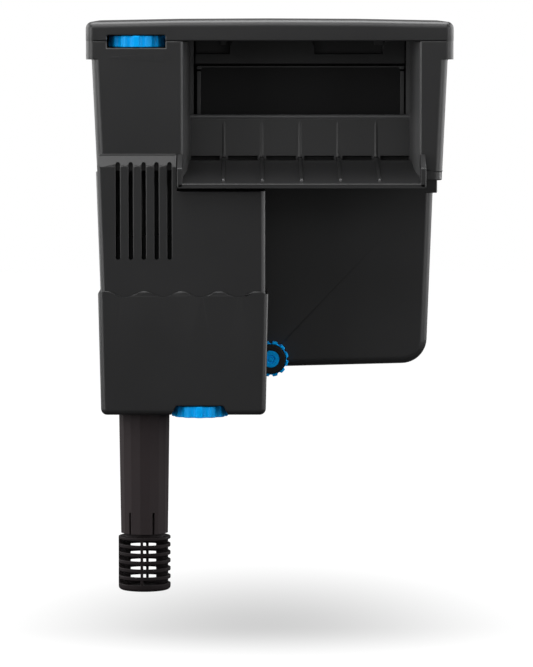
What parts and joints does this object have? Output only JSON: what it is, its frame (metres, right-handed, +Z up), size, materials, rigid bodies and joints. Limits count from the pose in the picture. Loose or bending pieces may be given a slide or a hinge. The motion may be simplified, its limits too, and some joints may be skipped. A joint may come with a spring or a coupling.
{
  "type": "hang-on aquarium filter",
  "caption": "Hang-on-back aquarium filter: box and lid behind the glass, saddle with ribbed spillway, skimmer column with pump, thumb wheels, leveller knob and sliding intake tube.",
  "frame": {"origin": "middle of the saddle's land, the face that rests on the tank's rim, midway across the filter and midway between the column and the box", "axes": "+X along the rim to the right as seen from inside the tank, +Y away from the tank, +Z up"},
  "size_m": [0.2686, 0.1963, 0.4209],
  "materials": {
    "black_plastic": "fine satin moulding texture",
    "motor_resin": "potted resin",
    "lamination_steel": "stacked laminations",
    "copper_winding": "enamelled wire winding",
    "screw_steel": "plain",
    "black_rubber": "matt",
    "ceramic_pin": "ground",
    "white_plastic": "natural",
    "magnet_ferrite": "plastic bonded ferrite",
    "blue_plastic": "satin gloss",
    "tube_plastic": "satin",
    "float_plastic": "foamed core, thin skin",
    "basket_plastic": "satin",
    "filter_foam": "open-cell foam",
    "media_mesh": "fine mesh bag of ceramic media"
  },
  "bodies": {
    "filter_body": {"filter_case": "black_plastic", "spillway_tray": "black_plastic", "intake_housing": "black_plastic", "housing_back": "black_plastic", "pump_cover": "black_plastic", "intake_manifold": "black_plastic", "volute_cover": "black_plastic", "motor_case": "motor_resin", "stator_core": "lamination_steel", "stator_coil": "copper_winding", "motor_cap": "motor_resin", "motor_screws": "screw_steel", "cable_gland": "black_rubber", "impeller_shaft": "ceramic_pin", "shaft_bushes": "black_rubber", "pump_feet": "black_rubber", "riser_pipe": "black_plastic", "valve_cap": "black_plastic", "tube_seal": "black_rubber"},
    "rotor": {"impeller": "white_plastic", "rotor_magnet": "magnet_ferrite"},
    "flow_valve": {"flow_dial": "blue_plastic", "flow_shaft": "black_plastic", "flow_gate": "black_plastic"},
    "intake_valve": {"intake_dial": "blue_plastic", "intake_shutter": "black_plastic"},
    "suction_tube": {"intake_tube": "tube_plastic", "strainer": "tube_plastic"},
    "skimmer": {"skimmer_float": "float_plastic"},
    "level_pad": {"leveler_pad": "black_rubber", "leveler_cap": "blue_plastic"},
    "level_knob": {"leveler_knob": "blue_plastic", "leveler_screw": "black_plastic"},
    "lid": {"lid": "black_plastic"},
    "indicator": {"alert_button": "blue_plastic"},
    "basket": {"media_basket": "basket_plastic", "foam_block": "filter_foam", "media_bag": "media_mesh"}
  },
  "joints": [
    {"name": "lid_lift", "type": "slide", "parent": "filter_body", "child": "lid", "axis": [0, 0, 1], "range_m": [0, 0.24]},
    {"name": "basket_lift", "type": "slide", "parent": "filter_body", "child": "basket", "axis": [0, 0, 1], "range_m": [0, 0.168]},
    {"name": "indicator_rise", "type": "slide", "parent": "lid", "child": "indicator", "axis": [0, 0, 1], "range_m": [0, 0.008]},
    {"name": "flow_dial_turn", "type": "hinge", "parent": "filter_body", "child": "flow_valve", "pos_m": [-0.0974, -0.0417, 0.0905], "axis": [0, 0, 1], "range_deg": [0, 90]},
    {"name": "intake_dial_turn", "type": "hinge", "parent": "filter_body", "child": "intake_valve", "pos_m": [-0.0514, -0.0495, -0.17], "axis": [0, 0, 1], "range_deg": [0, 90]},
    {"name": "impeller_spin", "type": "hinge", "parent": "filter_body", "child": "rotor", "pos_m": [-0.0514, -0.0495, -0.14], "axis": [0, 0, 1], "continuous": true},
    {"name": "float_rise", "type": "slide", "parent": "filter_body", "child": "skimmer", "axis": [0, 0, 1], "range_m": [0, 0.038]},
    {"name": "tube_extend", "type": "slide", "parent": "filter_body", "child": "suction_tube", "axis": [0, 0, -1], "range_m": [0, 0.03]},
    {"name": "level_travel", "type": "slide", "parent": "filter_body", "child": "level_pad", "axis": [0, -1, 0], "range_m": [0, 0.009]},
    {"name": "level_turn", "type": "hinge", "parent": "level_pad", "child": "level_knob", "pos_m": [0.0012, 0.0089, -0.1436], "axis": [0, -1, 0], "range_deg": [0, 1080]}
  ],
  "couplings": [
    {"joint": "basket_lift", "follows": "lid_lift", "ratio": 0.7},
    {"joint": "level_travel", "follows": "level_turn", "m_per_rad": 0.00047746}
  ]
}
